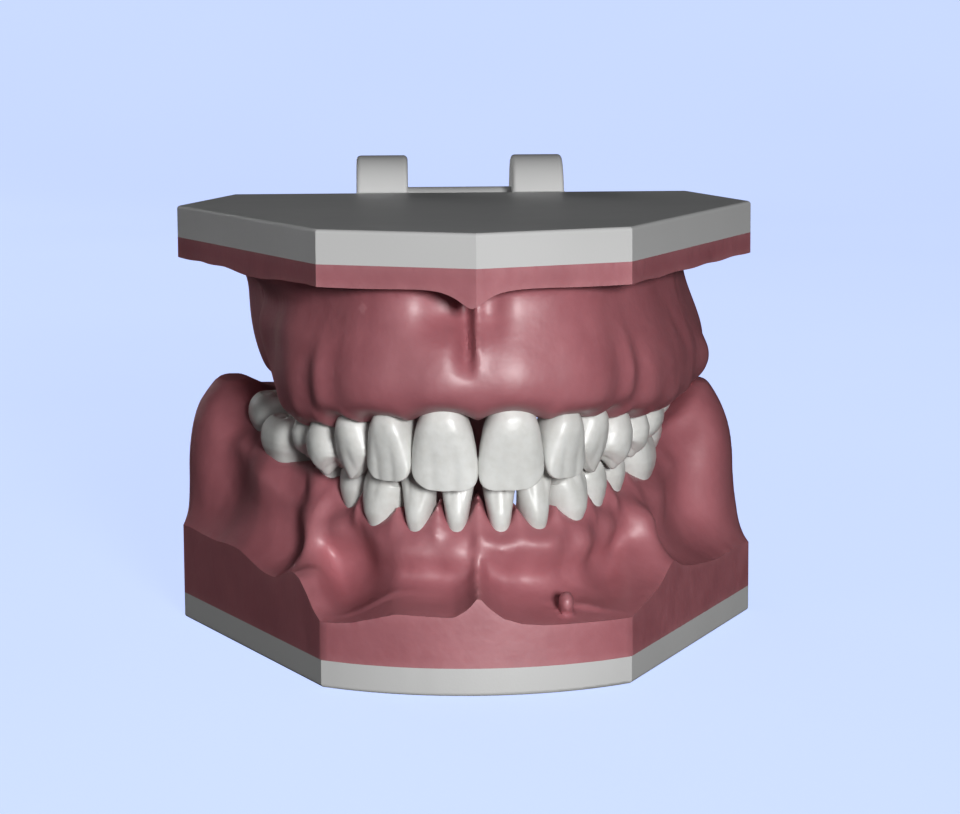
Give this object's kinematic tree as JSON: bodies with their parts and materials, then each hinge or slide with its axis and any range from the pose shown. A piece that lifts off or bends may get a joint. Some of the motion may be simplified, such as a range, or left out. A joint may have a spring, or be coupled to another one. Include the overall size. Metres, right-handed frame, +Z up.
{
  "type": "dental articulator",
  "caption": "Hinged dental study model: trimmed base plates carry an upper and a lower gum block with separate teeth, and hook clips on the upper plate turn on a bar held by a rear post.",
  "frame": {"origin": "on the underside of the lower plate, at the middle of the object's width and depth", "axes": "+Z up, -Y towards the incisors, +Y towards the hinge, +X towards the wearer's left side"},
  "size_m": [0.084, 0.0982, 0.0665],
  "materials": {
    "plate_plastic": "moulded, satin",
    "hinge_plastic": "moulded, satin",
    "gum_acrylic": "polished pink acrylic",
    "tooth_acrylic": "glossy, slightly translucent",
    "screw_steel": "bright",
    "magnet_nickel": "nickel plated",
    "keeper_steel": "satin",
    "dowel_brass": "turned"
  },
  "bodies": {
    "lower_jaw": {"lower_plate": "plate_plastic", "hinge_post": "hinge_plastic", "hinge_bar": "hinge_plastic", "hinge_bar_screws": "screw_steel", "post_screws": "screw_steel", "lower_gum": "gum_acrylic", "lower_right_central_incisor": "tooth_acrylic", "lower_right_lateral_incisor": "tooth_acrylic", "lower_right_canine": "tooth_acrylic", "lower_right_first_premolar": "tooth_acrylic", "lower_right_second_premolar": "tooth_acrylic", "lower_right_first_molar": "tooth_acrylic", "lower_right_second_molar": "tooth_acrylic", "lower_left_central_incisor": "tooth_acrylic", "lower_left_lateral_incisor": "tooth_acrylic", "lower_left_canine": "tooth_acrylic", "lower_left_first_premolar": "tooth_acrylic", "lower_left_second_premolar": "tooth_acrylic", "lower_left_first_molar": "tooth_acrylic", "lower_left_second_molar": "tooth_acrylic", "lower_tooth_screws": "screw_steel", "lower_magnet": "magnet_nickel", "lower_keeper_disc": "keeper_steel", "lower_dowel_pins": "dowel_brass"},
    "upper_jaw": {"upper_plate": "plate_plastic", "hinge_clip_left": "hinge_plastic", "hinge_clip_right": "hinge_plastic", "clip_screws": "screw_steel", "upper_gum": "gum_acrylic", "upper_right_central_incisor": "tooth_acrylic", "upper_right_lateral_incisor": "tooth_acrylic", "upper_right_canine": "tooth_acrylic", "upper_right_first_premolar": "tooth_acrylic", "upper_right_second_premolar": "tooth_acrylic", "upper_right_first_molar": "tooth_acrylic", "upper_right_second_molar": "tooth_acrylic", "upper_left_central_incisor": "tooth_acrylic", "upper_left_lateral_incisor": "tooth_acrylic", "upper_left_canine": "tooth_acrylic", "upper_left_first_premolar": "tooth_acrylic", "upper_left_second_premolar": "tooth_acrylic", "upper_left_first_molar": "tooth_acrylic", "upper_left_second_molar": "tooth_acrylic", "upper_tooth_screws": "screw_steel", "upper_magnet": "magnet_nickel", "upper_keeper_disc": "keeper_steel", "upper_dowel_pins": "dowel_brass"}
  },
  "joints": [
    {"name": "jaw_hinge", "type": "hinge", "parent": "lower_jaw", "child": "upper_jaw", "pos_m": [0, 0.0405, 0.0579], "axis": [-1, 0, 0], "range_deg": [0, 115]}
  ]
}
